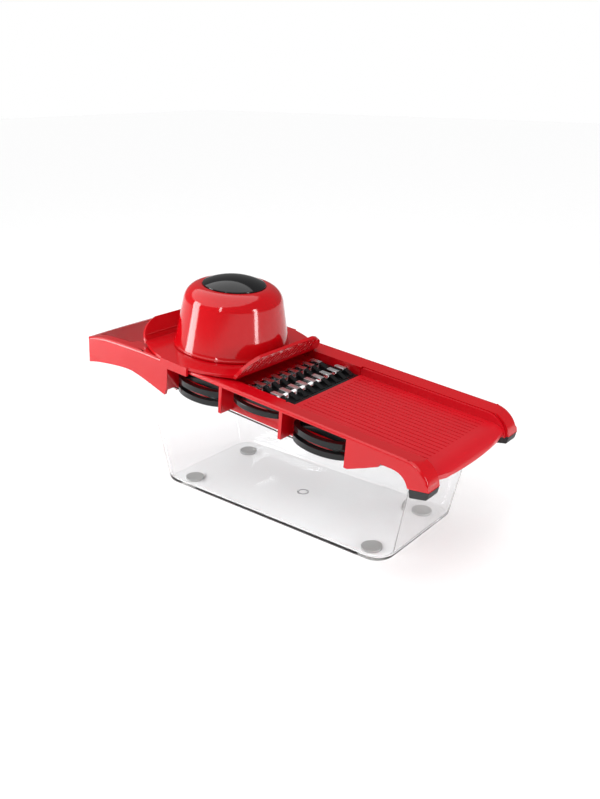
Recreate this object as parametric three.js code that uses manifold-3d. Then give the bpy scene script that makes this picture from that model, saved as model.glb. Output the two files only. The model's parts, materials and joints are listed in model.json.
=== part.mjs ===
// Mandoline slicer on a clear catch container, with a hand guard and five side-loading blade inserts.
// Units are millimetres, +Z is up. The slicer is built in its own level deck frame (u along the deck,
// y across it, w up from the ramp surface) and then leans down towards its foot end on the container.
import * as THREE from 'three';
import { mergeVertices } from 'three/addons/utils/BufferGeometryUtils.js';
import Module from 'manifold-3d';

const wasm = await Module();
wasm.setup();

// ---------------------------------------------------------------- driving dimensions
// shared
const gap = 0.3;                    // clearance between neighbouring pieces
const roundSteps = 10;              // segments in a corner arc

// container
const baseLength = 230;
const baseWidth = 108;
const endTaper = 0.21;              // outward lean of the end walls, per unit of height
const sideTaper = 0.04;             // outward lean of the long walls
const wall = 2.2;
const floorThickness = 2.6;
const cornerRadius = 15;
const bottomBevel = 3;
const padRadius = 8;
const padHeight = 2.6;
const padDrop = 1.8;                // how far the pads stand below the container base
const padInsetX = 21;               // pad centre in from the end of the base
const padInsetY = 18.7;             // pad centre in from the side of the base

// deck frame
const deckTilt = THREE.MathUtils.degToRad(5.2);
const deckHeight = 102.5;           // ramp surface above the table at the middle of the container
const sideClearance = 3.8;          // pocket back wall to the inside of the container
const railWidth = 17.2;
const railTop = 8.5;                // outer edge of a rail above the ramp surface
const railInnerTop = 6.7;           // inner edge of a rail
const railThickness = 2.8;
const skirtThickness = 2.6;
const handleBow = 4;                // how far the handle end bulges
const handleEndWall = 4.6;
const handleBarWidth = 9;
const handleHoleLength = 43;
const handleCorner = 3.5;
const endClearance = 2.4;           // cross wall to the end of the container rim
const crossWall = 3;
const crossWallDip = 3;             // top of the cross wall below the inner edge of a rail
const footOverhang = 25.2;          // foot end beyond the container rim
const footRadius = 20.5;            // bend of the rails down into the feet
const footSoleDrop = 11.5;          // heel of a foot below the ramp surface
const footSoleRise = 3.2;           // the sole lies flat when the handle is lifted
const footLength = 15.5;
const armLength = 20;               // stretch of rail that thins out before the foot
const rubberThickness = 6.2;
const rimDrop = 3.8;                // container rim below the ramp surface
const archRise = 10.6;              // height of the arch under the handle
const archFoot = 23.6;              // bottom of the handle end below the ramp surface
const handleDip = 73;               // stretch over which the top of the handle falls away
const handleDrop = 8.4;             // how far it has fallen at the end

// pockets and inserts
const pocketPitch = 60.7;
const partition = 3;
const insertPlay = 2.35;            // insert to the rib on each side
const insertThickness = 4.6;
const notchClearance = 0.5;         // lowest insert to the rim in the pocket notch
const insertInset = 0.5;            // end of an insert short of the far rail
const insertBorder = 6;
const tongueWidth = 5.3;            // right border that slips under the ramp
const deckThickness = 2.5;
const activeTop = -0.6;             // top of the insert in use
const storedClearance = 0.8;        // upper stored inserts below the deck plates
const ledgeClearance = 1.3;         // upper ledge to the insert stored under it
const slotClearance = 0.4;
const ledgeGrip = 1.45;             // how far an insert overlaps its ledge
const ledgeThickness = 2.1;
const loopBand = 5;
const toothCount = 9;
const toothWidth = 4.4;
const toothHeight = 4.2;
const toothMargin = 2.8;            // end tooth to the rail
const rowMargin = 3.5;              // teeth to the border of the insert
const rowSpacing = 3.5;             // between the two rows of teeth
const tabLength = 10;
const steel = 0.8;
const mouthWidth = 7;               // mouth of the straight slicer
const mouthSlant = 8;

// ramp
const rampOverhang = 11.2;          // end of the flat ramp beyond the container rim
const flangeThickness = 2;
const flangeTop = 6.3;
const flapReach = 9.5;
const flapDrop = 9;
const flapBow = 3.5;
const grooveCount = 18;
const grooveWidth = 1;
const grooveDepth = 0.5;
const grooveMargin = 4.5;           // groove ends to the ends of the flat ramp

// hand guard
const guardCentre = -80;
const guardThickness = 2.6;
const guardEndInset = 14;           // end of the plate in from the outer edge of a rail
const wingMargin = 0.6;             // rim of the dome to the root of a wing
const wingHeight = 19;
const wingCorner = 19;
const wingTilt = THREE.MathUtils.degToRad(30);
const hookLength = 30;
const hookPlay = 0.4;               // inner face of a hook to the rail
const hookThickness = 2.4;
const hookDrop = 4.8;
const domeRadius = 49.6;
const domeTopRadius = 41;
const domeHeight = 51.5;
const domeShoulder = 13;
const domeWall = 2.4;
const capRadius = 26.4;
const capThickness = 1.8;
const capBulge = 6;
const collarPlay = 2;               // inside of the dome to the top of the collar
const collarWall = 2.6;
const collarHeight = 26;
const pusherPlay = 2.9;             // disc to the bore of the collar
const pusherThickness = 3;
const pusherLift = 4.2;             // disc above the plate underside
const prongLength = 6;
const prongRadius = 1.3;
const prongRings = [[0.35, 6], [0.61, 10], [0.87, 14]];  // share of the disc's radius, prongs
const stemRadius = 7;
const stemWall = 2.6;
const stemFlange = 6;
const screwHeadLip = 1.1;           // head of the screw beyond its hole
const screwLength = 12;             // shank above the disc

// ---------------------------------------------------------------- colours
function plastic(color, roughness) {
  return new THREE.MeshStandardMaterial({ color, roughness, metalness: 0 });
}
const red = plastic(0xd3122a, 0.25);
const black = plastic(0x17181a, 0.35);
const rubber = plastic(0x1b1b1c, 0.8);
const padGrey = plastic(0x9b9b98, 0.7);
const chrome = new THREE.MeshStandardMaterial({ color: 0xd8dadb, roughness: 0.15, metalness: 1 });
const clear = new THREE.MeshStandardMaterial({
  color: 0xf3f6f7, roughness: 0.05, metalness: 0, transparent: true, opacity: 0.3,
});

// ---------------------------------------------------------------- solid helpers
// A closed three.js geometry becomes a solid; collapsed triangles are left out.
function toSolid(geometry) {
  const plain = new THREE.BufferGeometry();
  plain.setAttribute('position', geometry.getAttribute('position'));
  plain.setIndex(geometry.getIndex());
  const merged = mergeVertices(plain, 1e-4);
  const source = merged.getIndex().array;
  const triangles = [];
  for (let i = 0; i < source.length; i += 3) {
    const [a, b, c] = [source[i], source[i + 1], source[i + 2]];
    if (a !== b && b !== c && c !== a) triangles.push(a, b, c);
  }
  return new wasm.Manifold(new wasm.Mesh({
    numProp: 3,
    vertProperties: new Float32Array(merged.getAttribute('position').array),
    triVerts: new Uint32Array(triangles),
  }));
}

function toGeometry(solid) {
  const { vertProperties, triVerts } = solid.getMesh();
  const geometry = new THREE.BufferGeometry();
  geometry.setAttribute('position', new THREE.BufferAttribute(new Float32Array(vertProperties), 3));
  geometry.setIndex(new THREE.BufferAttribute(new Uint32Array(triVerts), 1));
  geometry.computeVertexNormals();
  return geometry;
}

function join(solids) {
  return solids.reduce((whole, solid) => whole.add(solid));
}

function cut(solid, tools) {
  return tools.reduce((rest, tool) => rest.subtract(tool), solid);
}

function block(x0, x1, y0, y1, z0, z1) {
  const geometry = new THREE.BoxGeometry(x1 - x0, y1 - y0, z1 - z0);
  geometry.translate((x0 + x1) / 2, (y0 + y1) / 2, (z0 + z1) / 2);
  return toSolid(geometry);
}

function shapeOf(points) {
  return new THREE.Shape(points.map(([a, b]) => new THREE.Vector2(a, b)));
}

function extrude(shape, depth) {
  return new THREE.ExtrudeGeometry(shape, { depth, bevelEnabled: false, curveSegments: roundSteps });
}

// outline in (x, y), raised from z0 to z1
function prismUp(shape, z0, z1) {
  return toSolid(extrude(shape, z1 - z0).translate(0, 0, z0));
}

// outline in (x, z), drawn across from y0 to y1
function prismAcross(shape, y0, y1) {
  return toSolid(extrude(shape, y1 - y0).rotateX(Math.PI / 2).translate(0, y1, 0));
}

// outline in (y, z), drawn along from x0 to x1
function prismAlong(shape, x0, x1) {
  const turn = new THREE.Matrix4().makeBasis(
    new THREE.Vector3(0, 1, 0),
    new THREE.Vector3(0, 0, 1),
    new THREE.Vector3(1, 0, 0),
  );
  return toSolid(extrude(shape, x1 - x0).applyMatrix4(turn).translate(x0, 0, 0));
}

// outline in (radius, z), turned about the vertical through (x, y)
function turned(profile, x, y, segments) {
  const points = profile.map(([r, z]) => new THREE.Vector2(r, z));
  const geometry = new THREE.LatheGeometry(points, segments);
  return toSolid(geometry.rotateX(Math.PI / 2).translate(x, y, 0));
}

function disc(x, y, radius, z0, z1, segments) {
  const geometry = new THREE.CylinderGeometry(radius, radius, z1 - z0, segments);
  return toSolid(geometry.rotateX(Math.PI / 2).translate(x, y, (z0 + z1) / 2));
}

function arcPoints(cx, cy, radius, from, to, steps) {
  return Array.from({ length: steps + 1 }, (_, i) => {
    const angle = from + ((to - from) * i) / steps;
    return [cx + radius * Math.cos(angle), cy + radius * Math.sin(angle)];
  });
}

function roundedRectangle(halfX, halfY, radius) {
  const quarter = Math.PI / 2;
  const corners = [[1, 1, 0], [-1, 1, 1], [-1, -1, 2], [1, -1, 3]];
  return corners.flatMap(([sx, sy, turn]) => arcPoints(
    sx * (halfX - radius),
    sy * (halfY - radius),
    radius,
    turn * quarter,
    (turn + 1) * quarter,
    roundSteps,
  ));
}

// A solid through level outlines that all have the same number of points.
function loft(levels) {
  const count = levels[0].points.length;
  const positions = levels.flatMap(({ z, points }) => points.flatMap(([x, y]) => [x, y, z]));
  const index = [];
  for (let level = 0; level < levels.length - 1; level += 1) {
    for (let i = 0; i < count; i += 1) {
      const a = level * count + i;
      const b = level * count + ((i + 1) % count);
      index.push(a, b, b + count, a, b + count, a + count);
    }
  }
  const top = (levels.length - 1) * count;
  for (let i = 1; i < count - 1; i += 1) {
    index.push(0, i + 1, i);
    index.push(top, top + i, top + i + 1);
  }
  const geometry = new THREE.BufferGeometry();
  geometry.setAttribute('position', new THREE.Float32BufferAttribute(positions, 3));
  geometry.setIndex(index);
  return toSolid(geometry);
}

function named(name, solid, material) {
  const mesh = new THREE.Mesh(toGeometry(solid), material);
  mesh.name = name;
  return mesh;
}

// ---------------------------------------------------------------- derived places
// The leaning rim cuts the tapered ends of the container at these distances along the deck.
const rimRise = deckHeight - rimDrop - padDrop;
const rimReach = baseLength / 2 + endTaper * rimRise;
const rimLeft = rimReach / (1 - endTaper * Math.tan(deckTilt));
const rimRight = rimReach / (1 + endTaper * Math.tan(deckTilt));
const rimInnerHalf = baseWidth / 2 + sideTaper * (rimRise - rimRight * Math.tan(deckTilt)) - wall;
const channelHalf = rimInnerHalf - sideClearance - skirtThickness;
const footReach = rimRight + footOverhang;
const rampEnd = rimRight + rampOverhang;
const crossWallEnd = -(rimLeft + endClearance);
const holeEnd = crossWallEnd - crossWall;
const handleReach = -holeEnd + handleHoleLength + handleEndWall;
const railHalf = channelHalf + railWidth;
const skirtInner = railHalf - skirtThickness;
const wallOuter = channelHalf + skirtThickness;         // outer face of the pocket back wall
const railUnder = railTop - railThickness;
const storedTop = -deckThickness - storedClearance;
const storedPitch = insertThickness + gap + ledgeThickness + ledgeClearance;
const storedDepth = storedPitch + insertThickness - storedTop;
const notchRimDrop = storedDepth + notchClearance;
const ribDepth = storedDepth + gap + ledgeThickness;
const ledgeWidth = insertPlay + ledgeGrip;
const pocketCentres = [-pocketPitch, 0, pocketPitch];
const partitionCentres = [-1.5, -0.5, 0.5, 1.5].map((k) => k * pocketPitch);
const pocketSpan = 1.5 * pocketPitch;
const insertWidth = pocketPitch - partition - 2 * insertPlay;
const rampStart = insertWidth / 2 - tongueWidth + gap;
const containerBase = padDrop;
const far = 2 * handleReach;                            // beyond every face of the object
const deckToTable = new THREE.Matrix4()
  .makeTranslation(0, 0, deckHeight)
  .multiply(new THREE.Matrix4().makeRotationY(deckTilt));

// ---------------------------------------------------------------- container
function containerLevel(z, inset, radius) {
  const rise = z - containerBase;
  const halfX = baseLength / 2 + endTaper * rise - inset;
  const halfY = baseWidth / 2 + sideTaper * rise - inset;
  return { z, points: roundedRectangle(halfX, halfY, radius) };
}

function padCentres() {
  const x = baseLength / 2 - padInsetX;
  const y = baseWidth / 2 - padInsetY;
  return [
    ['front_left', -x, -y],
    ['front_right', x, -y],
    ['back_left', -x, y],
    ['back_right', x, y],
  ];
}

function inDeckFrame(solid) {
  return solid.transform(deckToTable.toArray());
}

function containerTub() {
  const top = deckHeight + (handleReach + railHalf) * Math.sin(deckTilt);
  const floorTop = containerBase + floorThickness;
  const outer = loft([
    containerLevel(containerBase, bottomBevel, cornerRadius - bottomBevel),
    containerLevel(containerBase + bottomBevel * 0.3, bottomBevel * 0.3, cornerRadius),
    containerLevel(containerBase + bottomBevel, 0, cornerRadius),
    containerLevel(top, 0, cornerRadius),
  ]);
  const inner = loft([
    containerLevel(floorTop, wall + bottomBevel * 0.6, cornerRadius - bottomBevel),
    containerLevel(floorTop + bottomBevel, wall, cornerRadius - wall),
    containerLevel(top + 1, wall, cornerRadius - wall),
  ]);
  const aboveRim = inDeckFrame(block(-far, far, -far, far, -rimDrop, far));
  const notchHalf = pocketSpan + partition / 2 + 2 * gap;
  const notch = inDeckFrame(block(-notchHalf, notchHalf, -far, -channelHalf, -notchRimDrop, far));
  const recessTop = padHeight + gap;
  const recesses = padCentres().map(([, x, y]) => (
    disc(x, y, padRadius + gap, containerBase - 1, recessTop, 32)
  ));
  return cut(outer, [inner, aboveRim, notch, ...recesses]);
}

// ---------------------------------------------------------------- slicer frame
// Side outline of the frame: handle end, arch, long skirt, foot, and the line of the rail top.
function sideOutline() {
  const shape = new THREE.Shape();
  const footCentre = footReach - footRadius;
  const heel = footReach - footLength;
  const armStart = heel - armLength;
  const archTop = archFoot - archRise;
  const archEnd = pocketSpan + partition / 2;
  const skirtDrop = notchRimDrop - gap;
  const armUnder = -2;
  const handleEnd = -handleReach - handleBow;
  const underArch = (share, drop) => (
    new THREE.Vector2(-handleReach + share * (handleReach - archEnd), -archTop - drop)
  );
  const alongDip = (share, drop) => (
    new THREE.Vector2(-handleReach + share * handleDip, railTop - drop * handleDrop)
  );
  shape.moveTo(handleEnd, -archFoot);
  shape.splineThru([
    underArch(0.17, 4.9),
    underArch(0.51, 0),
    underArch(0.7, 1.6),
    underArch(1, archRise - 2),
  ]);
  shape.lineTo(-pocketSpan, -skirtDrop);
  shape.lineTo(archEnd, -skirtDrop);
  shape.quadraticCurveTo(archEnd + 0.62 * (armStart - archEnd), -skirtDrop / 2, armStart, armUnder);
  shape.lineTo(armStart + armLength * 0.3, armUnder);
  shape.quadraticCurveTo(heel - armLength * 0.2, armUnder - 0.6, heel - 1, -footSoleDrop);
  shape.lineTo(heel, -footSoleDrop);
  shape.lineTo(footReach, -footSoleDrop + footSoleRise);
  shape.absarc(footCentre, railTop - footRadius, footRadius, 0.18, Math.PI / 2, false);
  shape.lineTo(alongDip(1, 0).x, railTop);
  shape.splineThru([
    alongDip(0.55, 0.17),
    alongDip(0.23, 0.43),
    new THREE.Vector2(handleEnd, railTop - handleDrop),
  ]);
  shape.closePath();
  return shape;
}

// Plan outline of a bowed end with rounded corners, from x = near to x = end.
function bowedOutline(near, end, half, corner) {
  const shape = new THREE.Shape();
  shape.moveTo(near, -half);
  shape.lineTo(near, half);
  shape.lineTo(end + corner, half);
  shape.quadraticCurveTo(end, half, end, half - corner);
  shape.quadraticCurveTo(end - 2 * handleBow, 0, end, -half + corner);
  shape.quadraticCurveTo(end, -half, end + corner, -half);
  shape.closePath();
  return shape;
}

// Cross-section that slopes both rails down a little towards the deck.
function railSection() {
  return shapeOf([
    [-railHalf, -far],
    [railHalf, -far],
    [railHalf, railTop],
    [channelHalf, railInnerTop],
    [-channelHalf, railInnerTop],
    [-railHalf, railTop],
  ]);
}

function insertTops(pocket) {
  return pocket === 1 ? [activeTop] : [storedTop, storedTop - storedPitch];
}

// Ribs run under the deck in line with the partitions and carry ledges for the inserts.
function ribsAndLedges() {
  const ribHalf = partition / 2;
  const pocketFloor = -notchRimDrop + gap;
  const ribTop = -deckThickness - gap;
  const root = 1;                     // how far a rib or a ledge runs into what it stands on
  const ribs = partitionCentres.flatMap((u) => [
    block(u - ribHalf, u + ribHalf, -wallOuter + root / 2, channelHalf + root, -ribDepth, ribTop),
    block(u - ribHalf, u + ribHalf, -railHalf, -wallOuter, pocketFloor, railUnder + root / 2),
    block(u - ribHalf, u + ribHalf, -railHalf, -channelHalf - root, pocketFloor, ribTop),
  ]);
  const inner = pocketPitch / 2 - ribHalf;
  const ledges = pocketCentres.flatMap((centre, pocket) => insertTops(pocket).flatMap((top) => {
    const ledgeTop = top - insertThickness - gap;
    return [-1, 1].map((side) => {
      const outerEdge = centre + side * (inner + root / 2);
      const innerEdge = centre + side * (inner - ledgeWidth);
      const [u0, u1] = [Math.min(outerEdge, innerEdge), Math.max(outerEdge, innerEdge)];
      return block(u0, u1, -channelHalf - root, channelHalf + root, ledgeTop - ledgeThickness, ledgeTop);
    });
  }));
  return [...ribs, ...ledges];
}

// Openings in the pocket back wall that the inserts slide through.
function insertSlots() {
  const half = insertWidth / 2 + slotClearance;
  return pocketCentres.flatMap((centre, pocket) => insertTops(pocket).map((top) => {
    const head = pocket === 1 ? activeTop + toothHeight + 2 * slotClearance : top;
    return block(
      centre - half,
      centre + half,
      -wallOuter - 1,
      -channelHalf + 1,
      top - insertThickness - slotClearance,
      head + slotClearance,
    );
  }));
}

function slicerFrame() {
  const plan = bowedOutline(footReach, -handleReach, railHalf, handleCorner);
  const hole = bowedOutline(
    holeEnd,
    -handleReach + handleEndWall,
    railHalf - handleBarWidth,
    handleCorner - 1,
  );
  const whole = prismAcross(sideOutline(), -railHalf, railHalf)
    .intersect(prismUp(plan, -far, far))
    .intersect(prismAlong(railSection(), -far, far));
  const trayOuter = channelHalf + flangeThickness + 2 * gap;
  const cavityEnd = footReach - footLength - armLength * 0.3;
  const sideCavity = (side) => {
    const [y0, y1] = side < 0 ? [-skirtInner, -wallOuter] : [wallOuter, skirtInner];
    return block(crossWallEnd, cavityEnd, y0, y1, -far, railUnder);
  };
  const cornerEnd = -rimLeft + cornerRadius + endClearance;
  const skirtEnd = cut(whole, [
    prismUp(hole, -far, far),
    block(crossWallEnd, far, -channelHalf, channelHalf, -far, far),
    block(holeEnd - 1, crossWallEnd + 1, -channelHalf, channelHalf, railInnerTop - crossWallDip, far),
    block(crossWallEnd, cornerEnd, -skirtInner, skirtInner, -far, -deckThickness - gap),
    sideCavity(-1),
    sideCavity(1),
    block(-pocketSpan, pocketSpan, -far, -wallOuter, -far, railUnder),
    block(rampStart - gap, far, -trayOuter, trayOuter, -deckThickness - gap, far),
    block(footReach - footLength - armLength, far, -trayOuter, trayOuter, -far, far),
  ]);
  const backWalls = [-1, 1].map((side) => {
    const [y0, y1] = side < 0 ? [-wallOuter, -channelHalf] : [channelHalf, wallOuter];
    return block(-pocketSpan, pocketSpan, y0, y1, -ribDepth, -deckThickness - gap);
  });
  return cut(join([skirtEnd, ...backWalls, ...ribsAndLedges()]), insertSlots());
}

// A rubber cap under each foot, with a sole that is parallel to the sole of the foot.
function footRubber(side) {
  const heel = footReach - footLength;
  const bevel = 1.6;
  const top = -footSoleDrop - gap;
  const sole = top - rubberThickness;
  const outline = shapeOf([
    [heel, top],
    [heel + bevel / 2, sole + bevel / 2],
    [heel + bevel, sole],
    [footReach - bevel, sole + footSoleRise],
    [footReach - bevel / 2, sole + footSoleRise + bevel],
    [footReach - bevel / 8, top + footSoleRise],
  ]);
  const inner = channelHalf + flangeThickness + 3 * gap;
  const [y0, y1] = side < 0 ? [-railHalf + gap, -inner] : [inner, railHalf - gap];
  return prismAcross(outline, y0, y1);
}

// ---------------------------------------------------------------- deck plates
function landingPlate() {
  const half = channelHalf - gap;
  return block(crossWallEnd + gap, -insertWidth / 2 - gap, -half, half, -deckThickness, 0);
}

const rampHalf = channelHalf + gap + flangeThickness / 2;

// The upturned edge of the ramp, rounded where it starts, follows the rail down to the foot.
function rampSide(side) {
  const inner = channelHalf + gap;
  const outer = inner + flangeThickness;
  const [y0, y1] = side < 0 ? [-outer, -inner] : [inner, outer];
  const nose = 2.2;
  const bendCentre = footReach - footRadius;
  const bend = footRadius - (railTop - flangeTop);
  const outline = new THREE.Shape();
  outline.moveTo(rampStart, -deckThickness);
  outline.lineTo(rampEnd, -deckThickness);
  outline.lineTo(rampEnd + flapReach - flangeThickness, -flapDrop);
  outline.absarc(bendCentre, flangeTop - bend, bend, 0.15, Math.PI / 2, false);
  outline.lineTo(rampStart + nose, flangeTop);
  outline.absarc(rampStart + nose, flangeTop - nose, nose, Math.PI / 2, Math.PI, false);
  outline.closePath();
  return prismAcross(outline, y0, y1);
}

// The end of the ramp curls down between the feet in a shallow bow.
function rampFlap() {
  const steps = 8;
  const root = rampEnd - 2;
  const edge = Array.from({ length: steps + 1 }, (_, i) => {
    const x = -1 + (2 * i) / steps;
    return [rampEnd + flapReach + flapBow * (1 - x * x), x * rampHalf];
  });
  const plan = prismUp(shapeOf([[root, -rampHalf], ...edge, [root, rampHalf]]), -far, far);
  const reach = flapReach + flapBow;
  const lip = 2;
  const outline = new THREE.Shape();
  outline.moveTo(root, 0);
  outline.lineTo(root, -deckThickness);
  outline.quadraticCurveTo(rampEnd + reach * 0.6, -deckThickness - 1, rampEnd + reach - lip, -flapDrop);
  outline.lineTo(rampEnd + reach, -flapDrop);
  outline.quadraticCurveTo(rampEnd + reach * 0.75, -0.6, rampEnd, 0);
  outline.closePath();
  return prismAcross(outline, -rampHalf, rampHalf).intersect(plan);
}

function rampPlate() {
  const plate = block(rampStart, rampEnd, -rampHalf, rampHalf, -deckThickness, 0);
  const first = rampStart + grooveMargin;
  const last = rampEnd - grooveMargin;
  const spacing = (2 * channelHalf) / (grooveCount + 1);
  const grooves = Array.from({ length: grooveCount }, (_, i) => {
    const y = -channelHalf + spacing * (i + 1);
    return block(first, last, y - grooveWidth / 2, y + grooveWidth / 2, -grooveDepth, 1);
  });
  return cut(join([plate, rampSide(-1), rampSide(1), rampFlap()]), grooves);
}

// ---------------------------------------------------------------- blade inserts
const insertHalf = insertWidth / 2;
const insertBack = channelHalf - insertInset;
const insertFront = -wallOuter;
const openingLeft = -insertHalf + insertBorder;
const openingRight = insertHalf - tongueWidth - insertBorder;
const openingHalf = channelHalf - insertBorder;
const seatLip = 2;
const bladeBar = 3.6;                                   // steel that lies flat behind each tooth

function loopOutline(halfWidth, reach, back) {
  const front = arcPoints(0, 0, 1, Math.PI, 2 * Math.PI, 3 * roundSteps)
    .map(([x, y]) => [x * halfWidth, insertFront + y * reach]);
  return shapeOf([...front, [halfWidth, back], [-halfWidth, back]]);
}

// The loop at the front of an insert, for a fingertip.
function insertLoop() {
  const reach = railHalf + insertFront;
  const outer = prismUp(loopOutline(insertHalf, reach, insertFront + 1), -insertThickness, 0);
  const fingerHole = prismUp(
    loopOutline(insertHalf - loopBand, reach - loopBand, insertFront),
    -insertThickness - 1,
    1,
  );
  return outer.subtract(fingerHole);
}

// The step along the right border that slips under the ramp.
function tongueStep() {
  const under = -deckThickness - gap - activeTop;
  return block(insertHalf - tongueWidth, insertHalf + 1, insertFront - gap, insertBack + 1, under, 1);
}

function insertPlank() {
  return block(-insertHalf, insertHalf, insertFront, insertBack, -insertThickness, 0);
}

function insertOpening(left, right, half) {
  return block(left, right, -half, half, -insertThickness - 1, 1);
}

const teethHalf = channelHalf - toothMargin;
const toothPitch = (2 * teethHalf - toothWidth) / (toothCount - 0.5);
const toothLength = (insertWidth - tongueWidth - 2 * rowMargin - rowSpacing) / 2;
const leftRowStart = -insertHalf + rowMargin;

function julienneRow(start, shift) {
  const first = shift - ((toothCount - 1) * toothPitch) / 2;
  return Array.from({ length: toothCount }, (_, i) => [start, first + i * toothPitch]);
}

const julienneRows = [
  { name: 'left', teeth: julienneRow(leftRowStart, -toothPitch / 4) },
  { name: 'right', teeth: julienneRow(leftRowStart + toothLength + rowSpacing, toothPitch / 4) },
];

// The strip of the insert that carries a row of blades runs between these two places.
function julienneBar(start) {
  return [start + tabLength - bladeBar, start + toothLength];
}

// A bar under each row of blades; behind each tooth a wedge lifts the food to the next row.
function julienneWedges({ teeth }) {
  const start = teeth[0][0];
  const [barLeft, barRight] = julienneBar(start);
  const left = start + tabLength + gap;
  const bar = prismAcross(shapeOf([
    [barLeft, -insertThickness],
    [barRight - gap, -insertThickness],
    [barRight - gap, 0],
    [left, 0],
    [left, -steel - gap],
    [barLeft, -steel - gap],
  ]), -teethHalf + gap, teethHalf - gap);
  const wedges = teeth.map(([, y]) => {
    const outline = shapeOf([
      [left, -steel],
      [barRight - gap, -steel],
      [barRight - gap, steel / 2],
      [left, toothHeight - gap],
    ]);
    return prismAcross(outline, y - toothWidth / 2, y + toothWidth / 2);
  });
  return join([bar, ...wedges]);
}

// The frame is open from the first row of teeth to the back of the second bar.
function julienneFrame() {
  const [, lastBarRight] = julienneBar(julienneRows[1].teeth[0][0]);
  const window = insertOpening(leftRowStart - 1, lastBarRight, teethHalf);
  return cut(insertPlank(), [window, tongueStep()]);
}

function julienneLoop() {
  const outside = block(-far, far, -far, insertFront - gap, -far, far);
  return insertLoop().intersect(outside);
}

// One strip of steel with a bridge standing up and forward for each tooth.
function julienneBlades({ teeth }) {
  const start = teeth[0][0];
  const [barLeft] = julienneBar(start);
  const right = start + tabLength;
  const half = teethHalf - gap;
  const strip = block(barLeft, right, -half, half, -steel, 0);
  const bridges = teeth.map(([u, y]) => {
    const outline = shapeOf([
      [right - steel, -steel],
      [right, -steel],
      [right, toothHeight],
      [u, toothHeight],
      [u, toothHeight - steel],
      [right - steel, toothHeight - steel],
    ]);
    return prismAcross(outline, y - toothWidth / 2, y + toothWidth / 2);
  });
  return join([strip, ...bridges]);
}

function platedFrame() {
  const seat = block(
    openingLeft - seatLip,
    openingRight + seatLip,
    -openingHalf - seatLip,
    openingHalf + seatLip,
    -steel - gap,
    1,
  );
  const opening = insertOpening(openingLeft, openingRight, openingHalf);
  return cut(join([insertPlank(), insertLoop()]), [opening, seat, tongueStep()]);
}

function seatedPlate() {
  const lip = seatLip - gap;
  return block(openingLeft - lip, openingRight + lip, -openingHalf - lip, openingHalf + lip, -steel, 0);
}

function graterPlate(columns, rows, hole) {
  const stepU = (openingRight - openingLeft) / columns;
  const stepY = (2 * openingHalf) / rows;
  const holes = [];
  for (let i = 0; i < columns; i += 1) {
    for (let j = 0; j < rows; j += 1) {
      const u = openingLeft + stepU * (i + 0.5);
      const y = -openingHalf + stepY * (j + 0.5);
      holes.push(disc(u, y, hole, -steel - 1, 1, 6));
    }
  }
  return cut(seatedPlate(), holes);
}

// The straight slicer has one slanted mouth in its steel plate; the fine julienne has narrow slots.
function slicerPlate() {
  const middle = (openingLeft + openingRight) / 2;
  const mouth = shapeOf([
    [middle - mouthSlant / 2 - mouthWidth / 2, -openingHalf],
    [middle - mouthSlant / 2 + mouthWidth / 2, -openingHalf],
    [middle + mouthSlant / 2 + mouthWidth / 2, openingHalf],
    [middle + mouthSlant / 2 - mouthWidth / 2, openingHalf],
  ]);
  return cut(seatedPlate(), [prismUp(mouth, -steel - 1, 1)]);
}

function slottedPlate(slots) {
  const step = (2 * openingHalf) / slots;
  const mouths = Array.from({ length: slots }, (_, i) => {
    const y = -openingHalf + step * (i + 0.5);
    return block(openingLeft + seatLip, openingRight - seatLip, y - step / 4, y + step / 4, -steel - 1, 1);
  });
  return cut(seatedPlate(), mouths);
}

function placedInsert(pocket, level, meshes) {
  const group = new THREE.Group();
  group.position.set(pocketCentres[pocket], 0, insertTops(pocket)[level]);
  group.add(...meshes);
  return group;
}

function inserts() {
  const stored = [
    ['slicer', 0, 0, slicerPlate()],
    ['coarse_grater', 0, 1, graterPlate(3, 7, 3.2)],
    ['fine_grater', 2, 0, graterPlate(5, 9, 2)],
    ['fine_julienne', 2, 1, slottedPlate(11)],
  ];
  const active = placedInsert(1, 0, [
    named('julienne_insert_frame', julienneFrame(), black),
    named('julienne_insert_loop', julienneLoop(), black),
    ...julienneRows.map((row) => named(`julienne_wedges_${row.name}`, julienneWedges(row), black)),
    ...julienneRows.map((row) => named(`julienne_blades_${row.name}`, julienneBlades(row), chrome)),
  ]);
  return [active, ...stored.map(([name, pocket, level, plate]) => placedInsert(pocket, level, [
    named(`${name}_insert_frame`, platedFrame(), black),
    named(`${name}_plate`, plate, chrome),
  ]))];
}

// ---------------------------------------------------------------- hand guard
const guardUnder = railTop + gap;
const guardTop = guardUnder + guardThickness;
const guardHalfLength = domeRadius + wingMargin;
const guardEndHalfWidth = railHalf - guardEndInset;
const hookInner = railHalf + hookPlay;
const hookOuter = hookInner + hookThickness;
const guardBulge = hookOuter - gap - guardEndHalfWidth;
const domeUnder = guardTop + gap;
const domeTop = domeUnder + domeHeight;
const capSeat = domeTop - capThickness * 0.6;           // floor of the recess that holds the cap
const domeBend = Math.min(domeShoulder, domeTopRadius - capRadius - 5 * gap);
const collarTop = guardUnder + collarHeight;
const collarShare = (collarTop - domeUnder) / (domeHeight - domeBend);
const collarRadius = THREE.MathUtils.lerp(domeRadius, domeTopRadius, collarShare) - domeWall - collarPlay;
const collarBore = collarRadius - collarWall;
const pusherRadius = collarBore - pusherPlay;
const screwHole = stemRadius - stemWall - gap;

function guardPlan() {
  const steps = 16;
  const edge = Array.from({ length: steps + 1 }, (_, i) => {
    const x = -1 + (2 * i) / steps;
    return [x * guardHalfLength, guardEndHalfWidth + guardBulge * (1 - x * x)];
  });
  const back = edge.slice().reverse();
  const front = edge.map(([u, y]) => [u, -y]);
  return shapeOf([...front, ...back]);
}

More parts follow.
